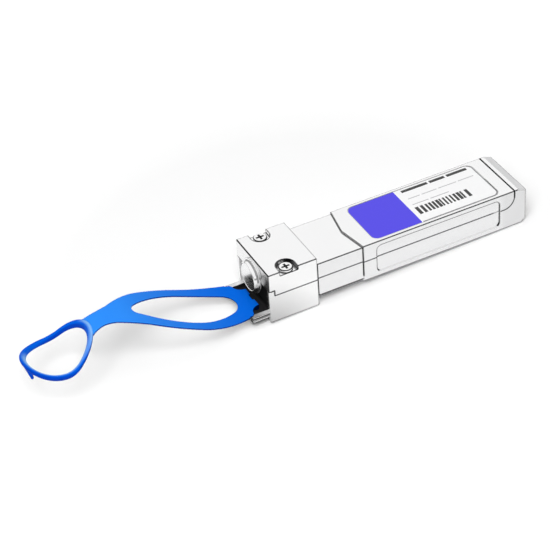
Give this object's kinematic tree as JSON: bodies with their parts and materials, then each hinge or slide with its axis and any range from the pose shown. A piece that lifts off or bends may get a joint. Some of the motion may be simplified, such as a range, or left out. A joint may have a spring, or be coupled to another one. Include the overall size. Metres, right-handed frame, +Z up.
{
  "type": "small form-factor pluggable loopback module",
  "caption": "Pluggable loopback module: two-part plated metal case on an edge-contact board, closed nose collar, sliding release latch and a flexible finger-loop pull tab.",
  "frame": {"origin": "middle line of the module at the plane of the seating shoulder (the nose's rear face) and the level of the module's lower face", "axes": "+X along the module into the cage, towards the contact edge; +Z up, out of the label; +Y completes the right-handed frame"},
  "size_m": [0.1066, 0.014, 0.0115],
  "materials": {
    "plated_case": "bright nickel plate on a zinc casting",
    "polished_steel": "polished turned steel",
    "sheet_steel": "stamped stainless sheet",
    "spring_steel": "drawn wire",
    "blue_elastomer": "smooth satin moulding",
    "board_laminate": "green solder mask",
    "gold_plate": "hard gold plate",
    "resistor_body": "glazed ceramic chip with tinned ends",
    "gap_pad": "soft filled silicone",
    "chip_body": "moulded epoxy",
    "capacitor_body": "ceramic chip with tinned ends",
    "label_film": "printed film with a violet field"
  },
  "bodies": {
    "module": {"top_shell": "plated_case", "bottom_shell": "plated_case", "nose_collar": "polished_steel", "cover_screws": "polished_steel", "return_spring_left": "spring_steel", "return_spring_right": "spring_steel", "circuit_board": "board_laminate", "upper_contacts": "gold_plate", "lower_contacts": "gold_plate", "load_resistors": "resistor_body", "thermal_pad": "gap_pad", "controller_chip": "chip_body", "pull_up_resistors": "resistor_body", "voltage_regulator": "chip_body", "decoupling_capacitors": "capacitor_body", "coupling_capacitors": "capacitor_body", "label": "label_film"},
    "puller": {"slider": "sheet_steel", "pull_tab": "blue_elastomer"}
  },
  "joints": [
    {"name": "latch_pull", "type": "slide", "parent": "module", "child": "puller", "axis": [-1, 0, 0], "range_m": [0, 0.0024], "stiffness_N_per_m": 200, "deforming": ["return_spring_left", "return_spring_right"]}
  ]
}
